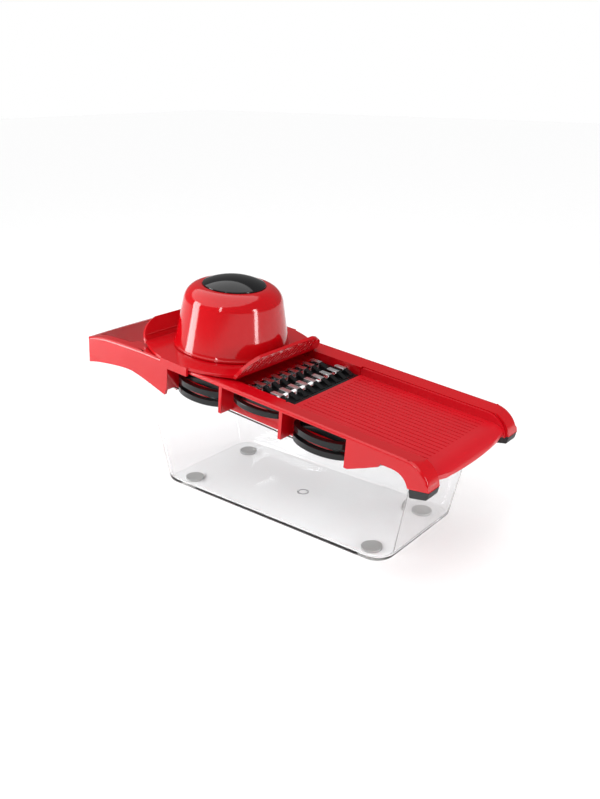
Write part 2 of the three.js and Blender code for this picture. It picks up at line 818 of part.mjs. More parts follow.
// A wing leans outward from each end of the plate and has rounded top corners.
function guardWing(side) {
  const shape = new THREE.Shape();
  const half = guardEndHalfWidth;
  const shoulder = wingHeight - wingCorner * 0.3;
  shape.moveTo(-half, -1);
  shape.lineTo(half, -1);
  shape.quadraticCurveTo(half, shoulder, half - wingCorner, wingHeight);
  shape.lineTo(-half + wingCorner, wingHeight);
  shape.quadraticCurveTo(-half, shoulder, -half, -1);
  const start = side < 0 ? -guardThickness : 0;
  return prismAlong(shape, start, start + guardThickness)
    .rotate([0, side * THREE.MathUtils.radToDeg(wingTilt), 0])
    .translate([side * guardHalfLength, 0, guardTop - guardThickness / 2]);
}

function guardHook(side) {
  const [y0, y1] = side < 0 ? [-hookOuter, -hookInner] : [hookInner, hookOuter];
  return block(-hookLength / 2, hookLength / 2, y0, y1, guardUnder - hookDrop, guardTop);
}

function guardCarriage() {
  const plate = prismUp(guardPlan(), guardUnder, guardTop);
  const collar = disc(0, 0, collarRadius, guardUnder, collarTop, 40);
  const bore = disc(0, 0, collarBore, guardUnder - 1, collarTop + 1, 40);
  const wings = [guardWing(-1), guardWing(1)];
  const belowPlate = block(-far, far, -far, far, -far, guardUnder);
  const upper = join([plate, collar, ...wings]).subtract(belowPlate).subtract(bore);
  return join([upper, guardHook(-1), guardHook(1)]);
}

function dome() {
  const shoulder = domeTop - domeBend;
  const ceiling = capSeat - domeWall;
  const centre = domeTopRadius - domeBend;
  const outerArc = arcPoints(centre, shoulder, domeBend, 0, Math.PI / 2, roundSteps);
  const innerArc = arcPoints(centre, shoulder, domeBend - domeWall, Math.PI / 2, 0, roundSteps);
  const recess = capRadius + gap;
  const rimHeight = 1.6;
  const rimStep = 1;
  return turned([
    [domeRadius - domeWall, domeUnder],
    [domeRadius, domeUnder],
    [domeRadius, domeUnder + rimHeight],
    [domeRadius - rimStep, domeUnder + rimHeight + rimStep],
    ...outerArc,
    [recess, domeTop],
    [recess, capSeat],
    [0, capSeat],
    [0, ceiling],
    [centre, ceiling],
    ...innerArc.slice(1),
    [domeRadius - domeWall, domeUnder],
  ], guardCentre, 0, 44);
}

function domeCap() {
  const seat = capSeat + gap;
  const edgeTop = seat + capThickness;
  const sphere = (capRadius ** 2 + capBulge ** 2) / (2 * capBulge);
  const half = Math.asin(capRadius / sphere);
  const crown = arcPoints(0, edgeTop + capBulge - sphere, sphere, Math.PI / 2 - half, Math.PI / 2, 5);
  return turned([
    [0, seat],
    [capRadius - 0.6, seat],
    ...crown.slice(0, -1),
    [0, edgeTop + capBulge],
  ], guardCentre, 0, 40);
}

const discUnder = guardUnder + pusherLift;
const discTop = discUnder + pusherThickness;

function pusherStem() {
  const top = capSeat - domeWall - gap;
  const bottom = discTop + gap;
  const tube = disc(guardCentre, 0, stemRadius, bottom, top, 32);
  const bore = disc(guardCentre, 0, stemRadius - stemWall, bottom - 1, top - stemWall, 24);
  const flange = disc(guardCentre, 0, stemRadius + stemFlange, top - stemWall, top, 32);
  return cut(join([tube, flange]), [bore]);
}

function pusherDisc() {
  const plate = disc(guardCentre, 0, pusherRadius, discUnder, discTop, 48);
  const root = 1;
  const prongs = prongRings.flatMap(([share, count]) => Array.from({ length: count }, (_, i) => {
    const angle = (2 * Math.PI * i) / count;
    const radius = share * pusherRadius;
    const cone = new THREE.CylinderGeometry(prongRadius, prongRadius / 4, prongLength + root, 6);
    cone.rotateX(Math.PI / 2);
    cone.translate(
      guardCentre + radius * Math.cos(angle),
      radius * Math.sin(angle),
      discUnder + (root - prongLength) / 2,
    );
    return toSolid(cone);
  }));
  const hole = disc(guardCentre, 0, screwHole, discUnder - 1, discTop + 1, 24);
  return cut(join([plate, ...prongs]), [hole]);
}

// The screw holds the disc against the stem from below.
function pusherScrew() {
  const headRadius = screwHole + screwHeadLip;
  const headTop = discUnder - gap;
  const bevel = 0.8;
  const head = turned([
    [0, headTop - 2],
    [headRadius - bevel, headTop - 2],
    [headRadius, headTop - 2 + bevel],
    [headRadius, headTop],
    [0, headTop],
  ], guardCentre, 0, 24);
  const rod = disc(guardCentre, 0, screwHole - 2 * gap, headTop - bevel, discTop + screwLength, 16);
  const slot = block(-headRadius - 1, headRadius + 1, -0.5, 0.5, headTop - 3, headTop - 2 + bevel)
    .translate([guardCentre, 0, 0]);
  return cut(join([head, rod]), [slot]);
}

// ---------------------------------------------------------------- assembly
const slicer = new THREE.Group();
slicer.applyMatrix4(deckToTable);
slicer.add(
  named('slicer_frame', slicerFrame(), red),
  named('landing_plate', landingPlate(), red),
  named('ramp_plate', rampPlate(), red),
  named('foot_rubber_front', footRubber(-1), rubber),
  named('foot_rubber_back', footRubber(1), rubber),
  ...inserts(),
  named('guard_carriage', guardCarriage().translate([guardCentre, 0, 0]), red),
  named('guard_dome', dome(), red),
  named('guard_cap', domeCap(), black),
  named('pusher_stem', pusherStem(), red),
  named('pusher_disc', pusherDisc(), black),
  named('pusher_screw', pusherScrew(), chrome),
);

const model = new THREE.Group();
model.add(slicer, named('container_tub', containerTub(), clear));
padCentres().forEach(([name, x, y]) => {
  model.add(named(`container_pad_${name}`, disc(x, y, padRadius, 0, padHeight, 32), padGrey));
});

// The origin is the middle of the footprint, on the table.
model.updateMatrixWorld(true);
const footprint = new THREE.Box3().setFromObject(model, true);
const middle = footprint.getCenter(new THREE.Vector3());
model.position.set(-middle.x, -middle.y, -footprint.min.z);

const group = new THREE.Group();
group.name = 'mandoline_slicer';
group.add(model);

export default group;
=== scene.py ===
import json
import math

import bmesh
import bpy
from mathutils import Matrix, Vector


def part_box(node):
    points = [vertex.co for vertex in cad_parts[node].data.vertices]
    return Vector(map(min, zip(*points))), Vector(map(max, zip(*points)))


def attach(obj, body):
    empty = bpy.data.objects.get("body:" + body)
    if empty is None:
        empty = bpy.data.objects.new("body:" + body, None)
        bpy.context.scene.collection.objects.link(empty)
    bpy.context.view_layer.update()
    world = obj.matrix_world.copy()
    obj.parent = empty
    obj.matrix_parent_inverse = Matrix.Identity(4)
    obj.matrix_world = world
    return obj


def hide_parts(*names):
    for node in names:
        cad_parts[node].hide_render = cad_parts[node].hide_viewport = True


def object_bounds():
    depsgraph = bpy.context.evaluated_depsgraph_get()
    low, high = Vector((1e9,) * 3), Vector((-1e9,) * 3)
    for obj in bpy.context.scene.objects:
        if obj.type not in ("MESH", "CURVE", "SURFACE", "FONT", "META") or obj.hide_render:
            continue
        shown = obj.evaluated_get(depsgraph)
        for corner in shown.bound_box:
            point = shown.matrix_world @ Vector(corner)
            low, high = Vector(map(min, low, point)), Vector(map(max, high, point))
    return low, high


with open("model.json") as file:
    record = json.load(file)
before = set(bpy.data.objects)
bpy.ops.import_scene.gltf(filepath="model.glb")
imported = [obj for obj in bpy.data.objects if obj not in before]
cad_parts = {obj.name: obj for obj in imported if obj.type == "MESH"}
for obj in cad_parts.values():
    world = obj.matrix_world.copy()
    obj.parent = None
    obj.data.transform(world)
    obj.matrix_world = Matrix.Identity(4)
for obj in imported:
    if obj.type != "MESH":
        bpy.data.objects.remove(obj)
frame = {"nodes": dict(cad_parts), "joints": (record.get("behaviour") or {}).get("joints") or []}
cad_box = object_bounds()

# ------------------------------------------------------------------ catch container
# A clear polystyrene tub, moulded in one shot, with walls that lean outwards. Its rim
# follows the slope of the slicer, and the front wall is cut lower where the inserts load.
MM = 0.001


def box_middle(node):
    low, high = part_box(node)
    return (low + high) / 2


def deck_frame():
    """The slicer's own level frame: along the deck, across it, and up from the ramp surface."""
    slide = next(j for j in frame["joints"] if j["name"] == "guard_slide")
    tilt = math.atan2(-slide["axis"][2], slide["axis"][0])
    pads = [n for n in frame["nodes"] if n.startswith("container_pad")]
    middle = sum((box_middle(n).x for n in pads)) / len(pads)
    deck_height = 102.5 * MM
    return Matrix.Translation((middle, 0, deck_height)) @ Matrix.Rotation(tilt, 4, "Y")


deck = deck_frame()
tub_middle = Matrix.Translation((deck.translation.x, 0, 0))


def deck_box(node):
    """Lowest and highest corner of a CAD node in the slicer's own frame."""
    level = deck.inverted()
    corners = [level @ v.co for v in frame["nodes"][node].data.vertices]
    low = Vector([min(c[i] for c in corners) for i in range(3)])
    high = Vector([max(c[i] for c in corners) for i in range(3)])
    return low, high


def new_piece(name, work, place=None):
    """Makes an object from a bmesh, with its place kept in its mesh."""
    bmesh.ops.recalc_face_normals(work, faces=work.faces)
    mesh = bpy.data.meshes.new(name)
    work.to_mesh(mesh)
    work.free()
    if place is not None:
        mesh.transform(place)
    piece = bpy.data.objects.new(name, mesh)
    bpy.context.scene.collection.objects.link(piece)
    return piece


def settle(piece):
    """Turns a piece's modifiers into plain mesh."""
    graph = bpy.context.evaluated_depsgraph_get()
    done = bpy.data.meshes.new_from_object(piece.evaluated_get(graph))
    piece.modifiers.clear()
    piece.data = done
    return piece


def carve(piece, tools, operation="DIFFERENCE"):
    for tool in tools:
        step = piece.modifiers.new("cut", "BOOLEAN")
        step.operation = operation
        step.solver = "EXACT"
        step.object = tool
        settle(piece)
        bpy.data.objects.remove(tool)
    return piece


def box_piece(low, high, place=None):
    work = bmesh.new()
    size = Vector(high) - Vector(low)
    middle = (Vector(high) + Vector(low)) / 2
    bmesh.ops.create_cube(work, size=1, matrix=Matrix.Translation(middle) @ Matrix.Diagonal((*size, 1)))
    return new_piece("tool", work, place)


def corner_arc(cx, cy, radius, start, steps):
    quarter = math.pi / 2
    turns = (start + quarter * i / steps for i in range(steps + 1))
    return [(cx + radius * math.cos(a), cy + radius * math.sin(a)) for a in turns]


def rounded_outline(half_x, half_y, radius, steps=16):
    """Points of a rectangle with rounded corners, round its middle."""
    points = []
    for turn, (sx, sy) in enumerate([(1, 1), (-1, 1), (-1, -1), (1, -1)]):
        points += corner_arc(
            sx * (half_x - radius), sy * (half_y - radius), radius, turn * math.pi / 2, steps
        )
    return points


def lofted(name, levels, place=None):
    """A closed solid through level outlines, given as (z, points) from the bottom up."""
    work = bmesh.new()
    rings = [[work.verts.new((x, y, z)) for x, y in points] for z, points in levels]
    for lower, upper in zip(rings, rings[1:]):
        for i in range(len(lower)):
            j = (i + 1) % len(lower)
            work.faces.new((lower[i], lower[j], upper[j], upper[i]))
    work.faces.new(rings[0][::-1])
    work.faces.new(rings[-1])
    return new_piece(name, work, place)


def rounded_edges(piece, width, steps=3, sharpest=34, evenness=100):
    """Rounds the edges as a mould does, and shades the flat faces flat."""
    bevel = piece.modifiers.new("edge", "BEVEL")
    bevel.width = width
    bevel.segments = steps
    bevel.limit_method = "ANGLE"
    bevel.angle_limit = math.radians(sharpest)
    settle(piece)
    piece.data.shade_smooth()
    normals = piece.modifiers.new("faces", "WEIGHTED_NORMAL")
    normals.weight = evenness
    normals.keep_sharp = True
    return settle(piece)


def fitted(piece, body, slot, material, *nodes):
    """Gives a finished piece its material and its place in the frame."""
    piece.data.materials.clear()
    piece.data.materials.append(material)
    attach(piece, body)
    if nodes:
        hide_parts(*nodes)
    return piece


def new_material(name):
    material = bpy.data.materials.new(name)
    material.use_nodes = True
    tree = material.node_tree
    return material, tree, tree.nodes["Principled BSDF"]


def surface_group(name, inputs, outputs):
    """An empty shader node group with named number sockets."""
    group = bpy.data.node_groups.new(name, "ShaderNodeTree")
    for socket, value in inputs:
        made = group.interface.new_socket(socket, in_out="INPUT", socket_type="NodeSocketFloat")
        made.default_value = value
    for socket in outputs:
        group.interface.new_socket(socket, in_out="OUTPUT", socket_type="NodeSocketFloat")
    return group


def moulded_skin():
    """Surface of a moulded plastic: slow waves of the mould and a fine grain."""
    inputs = (("Roughness", 0.2), ("Spread", 0.05), ("Grain Size", 900.0))
    group = surface_group("Moulded skin", inputs, ("Roughness", "Mottle", "Height"))
    add, link = group.nodes.new, group.links.new
    ends, out = add("NodeGroupInput"), add("NodeGroupOutput")
    place = add("ShaderNodeTexCoord")
    waves, grain = add("ShaderNodeTexNoise"), add("ShaderNodeTexNoise")
    waves.inputs["Scale"].default_value = 38
    waves.inputs["Detail"].default_value = 2
    grain.inputs["Detail"].default_value = 3
    link(place.outputs["Object"], waves.inputs["Vector"])
    link(place.outputs["Object"], grain.inputs["Vector"])
    link(ends.outputs["Grain Size"], grain.inputs["Scale"])
    rough = add("ShaderNodeMath")
    rough.operation = "MULTIPLY_ADD"
    link(waves.outputs["Fac"], rough.inputs[0])
    link(ends.outputs["Spread"], rough.inputs[1])
    link(ends.outputs["Roughness"], rough.inputs[2])
    height = add("ShaderNodeMath")
    height.operation = "MULTIPLY_ADD"
    height.inputs[1].default_value = 0.12
    link(grain.outputs["Fac"], height.inputs[0])
    link(waves.outputs["Fac"], height.inputs[2])
    link(rough.outputs[0], out.inputs["Roughness"])
    link(waves.outputs["Fac"], out.inputs["Mottle"])
    link(height.outputs[0], out.inputs["Height"])
    return group


skin = moulded_skin()


def skin_on(tree, shader, roughness, spread, grain_size, bump):
    """Puts the moulded skin under a shader and returns its node."""
    node = tree.nodes.new("ShaderNodeGroup")
    node.node_tree = skin
    node.inputs["Roughness"].default_value = roughness
    node.inputs["Spread"].default_value = spread
    node.inputs["Grain Size"].default_value = grain_size
    relief = tree.nodes.new("ShaderNodeBump")
    relief.inputs["Strength"].default_value = 1
    relief.inputs["Distance"].default_value = bump
    tree.links.new(node.outputs["Height"], relief.inputs["Height"])
    tree.links.new(node.outputs["Roughness"], shader.inputs["Roughness"])
    tree.links.new(relief.outputs["Normal"], shader.inputs["Normal"])
    return node


def clear_plastic():
    material, tree, shader = new_material("clear plastic")
    # Painted shade: the clear plastic's colour turns dark grey where it is seen edge-on, standing in for
    # the dark lines that refraction shows along its silhouettes.
    slant = tree.nodes.new("ShaderNodeLayerWeight")
    edge = tree.nodes.new("ShaderNodeMapRange")
    edge.inputs["From Min"].default_value = 0.72
    painted_edge_shade = tree.nodes.new("ShaderNodeMix")
    painted_edge_shade.data_type = "RGBA"
    painted_edge_shade.inputs["A"].default_value = (0.95, 0.955, 0.96, 1)
    painted_edge_shade.inputs["B"].default_value = (0.45, 0.46, 0.48, 1)
    tree.links.new(slant.outputs["Facing"], edge.inputs["Value"])
    tree.links.new(edge.outputs["Result"], painted_edge_shade.inputs["Factor"])
    tree.links.new(painted_edge_shade.outputs["Result"], shader.inputs["Base Color"])
    shader.inputs["Transmission Weight"].default_value = 1
    shader.inputs["IOR"].default_value = 1.45
    skin_on(tree, shader, roughness=0.0, spread=0.03, grain_size=500, bump=0.00002)
    rays = tree.nodes.new("ShaderNodeLightPath")
    through = tree.nodes.new("ShaderNodeBsdfTransparent")
    through.inputs["Color"].default_value = (0.985, 0.985, 0.985, 1)
    either = tree.nodes.new("ShaderNodeMixShader")
    tree.links.new(rays.outputs["Is Shadow Ray"], either.inputs["Fac"])
    tree.links.new(shader.outputs["BSDF"], either.inputs[1])
    tree.links.new(through.outputs["BSDF"], either.inputs[2])
    tree.links.new(either.outputs["Shader"], tree.nodes["Material Output"].inputs["Surface"])
    return material


clear = clear_plastic()
tub_base = 115 * MM, 54 * MM
tub_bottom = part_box("container_tub")[0].z
tub_lean = 0.21, 0.04
tub_wall = 2.2 * MM
tub_floor = 2.6 * MM
tub_corner = 15 * MM
tub_bevel = 3 * MM
rim_below_deck = 3.8 * MM
notch_below_deck = 16.7 * MM
notch_half = 93.15 * MM
channel_half = deck_box("landing_plate")[1].y + 0.3 * MM


def tub_level(z, inset, radius):
    rise = z - tub_bottom
    half_x = tub_base[0] + tub_lean[0] * rise - inset
    half_y = tub_base[1] + tub_lean[1] * rise - inset
    return z, rounded_outline(half_x, half_y, radius)


def tub():
    low_turn, high_turn = 0.13 * tub_bevel, 0.5 * tub_bevel
    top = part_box("container_tub")[1].z + 0.02
    floor_top = tub_bottom + tub_floor
    outside = lofted("container", [
        tub_level(tub_bottom, tub_bevel, tub_corner - tub_bevel),
        tub_level(tub_bottom + low_turn, high_turn, tub_corner - high_turn),
        tub_level(tub_bottom + high_turn, low_turn, tub_corner),
        tub_level(tub_bottom + tub_bevel, 0, tub_corner),
        tub_level(top, 0, tub_corner),
    ], tub_middle)
    inside = lofted("tool", [
        tub_level(floor_top, tub_wall + tub_bevel, tub_corner - tub_bevel),
        tub_level(floor_top + low_turn, tub_wall + high_turn, tub_corner - tub_wall),
        tub_level(floor_top + tub_bevel, tub_wall, tub_corner - tub_wall),
        tub_level(top + MM, tub_wall, tub_corner - tub_wall),
    ], tub_middle)
    far = 0.4
    above_rim = box_piece((-far, -far, -rim_below_deck), (far, far, far), deck)
    notch = box_piece((-notch_half, -far, -notch_below_deck), (notch_half, -channel_half, far), deck)
    carve(outside, [inside, above_rim, notch])
    return rounded_edges(outside, 0.5 * MM, steps=2, sharpest=50)


fitted(tub(), "container", "clear_plastic", clear, "container_tub")


def ring_piece(name, radius, thickness, height, place):
    """A low moulded ring with a round top."""
    work = bmesh.new()
    across, round_it = 8, 64
    rings = []
    for i in range(round_it):
        turn = 2 * math.pi * i / round_it
        ring = []
        for j in range(across + 1):
            side = math.pi * j / across
            r = radius + thickness * math.cos(side)
            ring.append(work.verts.new((r * math.cos(turn), r * math.sin(turn), height * math.sin(side))))
        rings.append(ring)
    for i, ring in enumerate(rings):
        after = rings[(i + 1) % round_it]
        for j in range(across):
            work.faces.new((ring[j], ring[j + 1], after[j + 1], after[j]))
        work.faces.new((ring[across], ring[0], after[0], after[across]))
    piece = new_piece(name, work, place)
    piece.data.shade_smooth()
    return piece


gate_place = tub_middle @ Matrix.Translation((0, 0, tub_bottom + tub_floor - 0.05 * MM))
gate_mark = ring_piece("gate_mark", 4.2 * MM, 0.8 * MM, 0.45 * MM, gate_place)
fitted(gate_mark, "container", "clear_plastic", clear)

# ------------------------------------------------------------------ table pads
# Four round soft pads are pressed into shallow seats under the container. They are a pale
# grey rubber with a matt, slightly mottled face and show through the clear floor.


def two_tones(tree, shader, mask, deep, pale):
    """Colours a shader with two tones that a mask blends."""
    mix = tree.nodes.new("ShaderNodeMix")
    mix.data_type = "RGBA"
    mix.inputs["A"].default_value = (*deep, 1)
    mix.inputs["B"].default_value = (*pale, 1)
    tree.links.new(mask, mix.inputs["Factor"])
    tree.links.new(mix.outputs["Result"], shader.inputs["Base Color"])


def grey_rubber():
    material, tree, shader = new_material("grey pad rubber")
    node = skin_on(tree, shader, roughness=0.55, spread=0.15, grain_size=1400, bump=0.00012)
    two_tones(tree, shader, node.outputs["Mottle"], (0.25, 0.25, 0.245), (0.36, 0.36, 0.35))
    return material


def turned(name, profile, centre, steps=96, place=None):
    """A solid of revolution from (radius, height) points that run from axis to axis."""
    work = bmesh.new()
    columns = []
    for i in range(steps):
        turn = 2 * math.pi * i / steps
        columns.append([
            None if r < 1e-7 else work.verts.new((r * math.cos(turn), r * math.sin(turn), z))
            for r, z in profile
        ])
    ends = [work.verts.new((0, 0, z)) if r < 1e-7 else None for r, z in profile]
    for i, column in enumerate(columns):
        after = columns[(i + 1) % steps]
        for j in range(len(profile) - 1):
            corners = [column[j] or ends[j], after[j] or ends[j], after[j + 1] or ends[j + 1],
                       column[j + 1] or ends[j + 1]]
            corners = list(dict.fromkeys(corners))
            if len(corners) > 2:
                work.faces.new(corners)
    move = Matrix.Translation(centre)
    return new_piece(name, work, move if place is None else place @ move)


grey_pad = grey_rubber()
pad_edge = 0.7 * MM
pad_lip = 2 * MM
pad_slope = 0.6 * MM
pad_dish = 0.4 * MM
for pad in sorted(n for n in frame["nodes"] if n.startswith("container_pad")):
    pad_low, pad_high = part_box(pad)
    pad_radius = (pad_high.x - pad_low.x) / 2
    pad_height = pad_high.z - pad_low.z
    pad_profile = [
        (0, 0),
        *corner_arc(pad_radius - pad_edge, pad_edge, pad_edge, -math.pi / 2, 5),
        (pad_radius, pad_height),
        (pad_radius - pad_lip, pad_height),
        (pad_radius - pad_lip - pad_slope, pad_height - pad_dish),
        (0, pad_height - pad_dish),
    ]
    pad_foot = ((pad_low.x + pad_high.x) / 2, (pad_low.y + pad_high.y) / 2, pad_low.z)
    piece = turned(pad.replace("container_pad", "table_pad"), pad_profile, pad_foot)
    rounded_edges(piece, 0.15 * MM, steps=2, sharpest=40)
    fitted(piece, "container", "grey_pad", grey_pad, pad)

# ------------------------------------------------------------------ slicer frame
# One glossy red moulding holds everything: a bowed carrying handle, two rails that bend
# down into feet, and ribs that divide the front into three pockets for the inserts.


def red_plastic(name, roughness, spread, bump, deep, pale):
    material, tree, shader = new_material(name)
    shader.inputs["IOR"].default_value = 1.5
    node = skin_on(tree, shader, roughness, spread, grain_size=700, bump=bump)
    two_tones(tree, shader, node.outputs["Mottle"], deep, pale)
    return material


def mould_of(node, name):
    """A finished piece that starts from the part's own shape, with its flat faces joined up."""
    work = bmesh.new()
    work.from_mesh(frame["nodes"][node].data)
    bmesh.ops.remove_doubles(work, verts=work.verts, dist=2e-6)
    bmesh.ops.dissolve_limit(work, angle_limit=math.radians(0.1), verts=work.verts, edges=work.edges)
    return new_piece(name, work)


glossy_red = red_plastic(
    "glossy red plastic", 0.13, 0.07, 0.00003, deep=(0.50, 0.001, 0.005), pale=(0.56, 0.0015, 0.007)
)


def soften_outside(piece, radius):
    """Rounds the long outside edge that runs round the handle, along the rails and down the feet."""
    low, high = deck_box("slicer_frame")
    handle_corner = low.x + 7 * MM
    handle_end = low.x + 5 * MM
    rail_side = high.y - 0.2 * MM
    above_soles = low.z + 20 * MM
    sharp = math.radians(40)
    steep, slight = 0.9, 0.3
    level = deck.inverted()
    turn = level.to_3x3()
    work = bmesh.new()
    work.from_mesh(piece.data)
    chosen = []
    for edge in work.edges:
        if len(edge.link_faces) != 2 or edge.calc_face_angle_signed() < sharp:
            continue
        at = level @ ((edge.verts[0].co + edge.verts[1].co) / 2)
        normals = [turn @ face.normal for face in edge.link_faces]
        upright = [n for n in normals if abs(n.z) < slight]
        walls = [n for n in upright if abs(n.y) > steep or at.x < handle_corner]
        tops = [n for n in normals if abs(n.y) < slight and (n.z > slight or n.x > slight)]
        outside = abs(at.y) > rail_side or at.x < handle_end
        outward = walls and (walls[0].y * at.y > 0 or walls[0].x < -steep)
        if outside and outward and tops and at.z > above_soles:
            chosen.append(edge)
    bmesh.ops.bevel(
        work, geom=chosen, offset=radius, segments=6, profile=0.5, affect="EDGES", clamp_overlap=False
    )
    work.to_mesh(piece.data)
    work.free()


slicer_body = mould_of("slicer_frame", "slicer_body")
soften_outside(slicer_body, 2 * MM)
rounded_edges(slicer_body, 0.9 * MM, steps=4, evenness=50)


def even_bow(piece):
    """Shades the bowed end of the handle as one smooth curve, outside and inside."""
    mesh = piece.data
    level = deck.inverted()
    turn = level.to_3x3()
    back = turn.inverted()
    handle_end = deck_box("slicer_frame")[0].x + 12 * MM
    smallest = 20 * MM * MM
    bowed = {1: [], -1: []}
    for face in mesh.polygons:
        facing, at = turn @ face.normal, level @ face.center
        endways = abs(facing.x) > 0.95 and abs(facing.z) < 0.02
        if endways and at.x < handle_end and face.area > smallest:
            bowed[1 if facing.x > 0 else -1].append((face, facing, at))
    normals = [c.vector.copy() for c in mesh.corner_normals]
    for side, strips in bowed.items():
        _, facing, at = max(strips, key=lambda strip: abs(strip[2].y))
        bend = facing.y / facing.x / at.y
        for face, _, _ in strips:
            for corner in face.loop_indices:
                y = (level @ mesh.vertices[mesh.loops[corner].vertex_index].co).y
                normals[corner] = (back @ Vector((side, side * bend * y, 0))).normalized()
    mesh.normals_split_custom_set(normals)


even_bow(slicer_body)
fitted(slicer_body, "slicer", "red_plastic", glossy_red, "slicer_frame")

# ------------------------------------------------------------------ landing plate and ramp
# The deck before the blades is a plain plate. The ramp behind them is a red moulding with
# a satin face, fine grooves along it, upturned sides and a lip that curls down at the end.
landing = mould_of("landing_plate", "landing_deck")
rounded_edges(landing, 0.4 * MM)
fitted(landing, "slicer", "red_plastic", glossy_red, "landing_plate")

satin_red = red_plastic(
    "satin red plastic", 0.27, 0.08, 0.00004, deep=(0.53, 0.002, 0.009), pale=(0.58, 0.003, 0.011)
)
ramp = mould_of("ramp_plate", "feed_ramp")
rounded_edges(ramp, 0.3 * MM, steps=2)
fitted(ramp, "slicer", "red_plastic", satin_red, "ramp_plate")

# ------------------------------------------------------------------ foot caps
# Each foot of the slicer wears a black rubber cap, so that it grips a worktop when the
# handle is lifted. The cap is matt, and its sole lies parallel to the sole of the foot.


def black_rubber():
    material, tree, shader = new_material("black rubber")
    node = skin_on(tree, shader, roughness=0.5, spread=0.2, grain_size=1600, bump=0.0001)
    two_tones(tree, shader, node.outputs["Mottle"], (0.008, 0.008, 0.009), (0.02, 0.02, 0.021))
    return material


foot_black = black_rubber()
for side in ("front", "back"):
    cap = mould_of(f"foot_rubber_{side}", f"foot_cap_{side}")
    rounded_edges(cap, 0.8 * MM)
    fitted(cap, "slicer", "black_rubber", foot_black, f"foot_rubber_{side}")

# ------------------------------------------------------------------ julienne insert
# The insert in use: a black moulding with a finger loop at the front, and two staggered
# rows of square steel teeth, each with a black wedge behind it that lifts the food.


def black_plastic(name, roughness):
    material, tree, shader = new_material(name)
    shader.inputs["IOR"].default_value = 1.4
    node = skin_on(tree, shader, roughness, spread=0.06, grain_size=800, bump=0.00003)
    two_tones(tree, shader, node.outputs["Mottle"], (0.004, 0.004, 0.0045), (0.009, 0.009, 0.01))
    return material


def brushed_lines():
    """Fine lines that run one way over rolled and ground steel."""
    group = surface_group("Brushed lines", (("Across", 2600.0), ("Along", 60.0)), ("Lines",))
    add, link = group.nodes.new, group.links.new
    ends, out = add("NodeGroupInput"), add("NodeGroupOutput")
    place = add("ShaderNodeTexCoord")
    stretch = add("ShaderNodeVectorMath")
    stretch.operation = "MULTIPLY"
    scale = add("ShaderNodeCombineXYZ")
    noise = add("ShaderNodeTexNoise")
    noise.inputs["Scale"].default_value = 1
    noise.inputs["Detail"].default_value = 2
    link(ends.outputs["Along"], scale.inputs["X"])
    link(ends.outputs["Across"], scale.inputs["Y"])
    link(ends.outputs["Along"], scale.inputs["Z"])
    link(place.outputs["Object"], stretch.inputs[0])
    link(scale.outputs["Vector"], stretch.inputs[1])
    link(stretch.outputs["Vector"], noise.inputs["Vector"])
    link(noise.outputs["Fac"], out.inputs["Lines"])
    return group


def blade_steel():
    material, tree, shader = new_material("blade steel")
    shader.inputs["Metallic"].default_value = 1
    lines = tree.nodes.new("ShaderNodeGroup")
    lines.node_tree = brushed_lines()
    rough = tree.nodes.new("ShaderNodeMapRange")
    rough.inputs["To Min"].default_value = 0.2
    rough.inputs["To Max"].default_value = 0.38
    two_tones(tree, shader, lines.outputs["Lines"], (0.72, 0.72, 0.73), (0.86, 0.86, 0.87))
    relief = tree.nodes.new("ShaderNodeBump")
    relief.inputs["Distance"].default_value = 0.00001
    tree.links.new(lines.outputs["Lines"], rough.inputs["Value"])
    tree.links.new(lines.outputs["Lines"], relief.inputs["Height"])
    tree.links.new(rough.outputs["Result"], shader.inputs["Roughness"])
    tree.links.new(relief.outputs["Normal"], shader.inputs["Normal"])
    return material


loop_black = black_plastic("glossy black plastic", 0.14)
steel = blade_steel()
julienne_body = mould_of("julienne_insert_frame", "julienne_body")
rounded_edges(julienne_body, 0.35 * MM, steps=2)
fitted(julienne_body, "julienne_insert", "black_plastic", loop_black, "julienne_insert_frame")
julienne_loop = mould_of("julienne_insert_loop", "julienne_loop")
rounded_edges(julienne_loop, 0.7 * MM)
fitted(julienne_loop, "julienne_insert", "black_plastic", loop_black, "julienne_insert_loop")
for row in ("left", "right"):
    wedges = mould_of(f"julienne_wedges_{row}", f"julienne_wedges_{row}_moulded")
    rounded_edges(wedges, 0.25 * MM, steps=2)
    fitted(wedges, "julienne_insert", "black_plastic", loop_black, f"julienne_wedges_{row}")
    teeth = mould_of(f"julienne_blades_{row}", f"julienne_teeth_{row}")
    rounded_edges(teeth, 0.12 * MM, steps=2)
    fitted(teeth, "julienne_insert", "blade_steel", steel, f"julienne_blades_{row}")

# ------------------------------------------------------------------ stored inserts
# Four more inserts wait in the outer pockets, two to a pocket. Each is the same black
# moulding with a loop, round a thin steel plate with its own pattern of mouths.
for kind in ("slicer", "coarse_grater", "fine_grater", "fine_julienne"):
    holder = mould_of(f"{kind}_insert_frame", f"{kind}_body")
    rounded_edges(holder, 0.7 * MM)
    fitted(holder, f"{kind}_insert", "black_plastic", loop_black, f"{kind}_insert_frame")
    sheet = mould_of(f"{kind}_plate", f"{kind}_blade_sheet")
    rounded_edges(sheet, 0.1 * MM, steps=1)
    fitted(sheet, f"{kind}_insert", "blade_steel", steel, f"{kind}_plate")

# ------------------------------------------------------------------ hand guard plate
# The guard rides on the rails: a red plate with a hook over each rail, a collar for the
# plunger and two wings that keep fingers off the blades. The wing towards the blades is
# ribbed outside for grip, and the other has one rib inside.
guard_plate = mould_of("guard_carriage", "guard_plate")
rounded_edges(guard_plate, 0.7 * MM)
fitted(guard_plate, "guard", "red_plastic", glossy_red, "guard_carriage")

dome_low, dome_high = deck_box("guard_dome")
dome_centre = (dome_low + dome_high) / 2
dome_radius = (dome_high.x - dome_low.x) / 2
wing_tilt = math.radians(30)
wing_root = dome_radius + 0.6 * MM
wing_thickness = 2.6 * MM
wing_foot = dome_low.z - 0.3 * MM - wing_thickness / 2


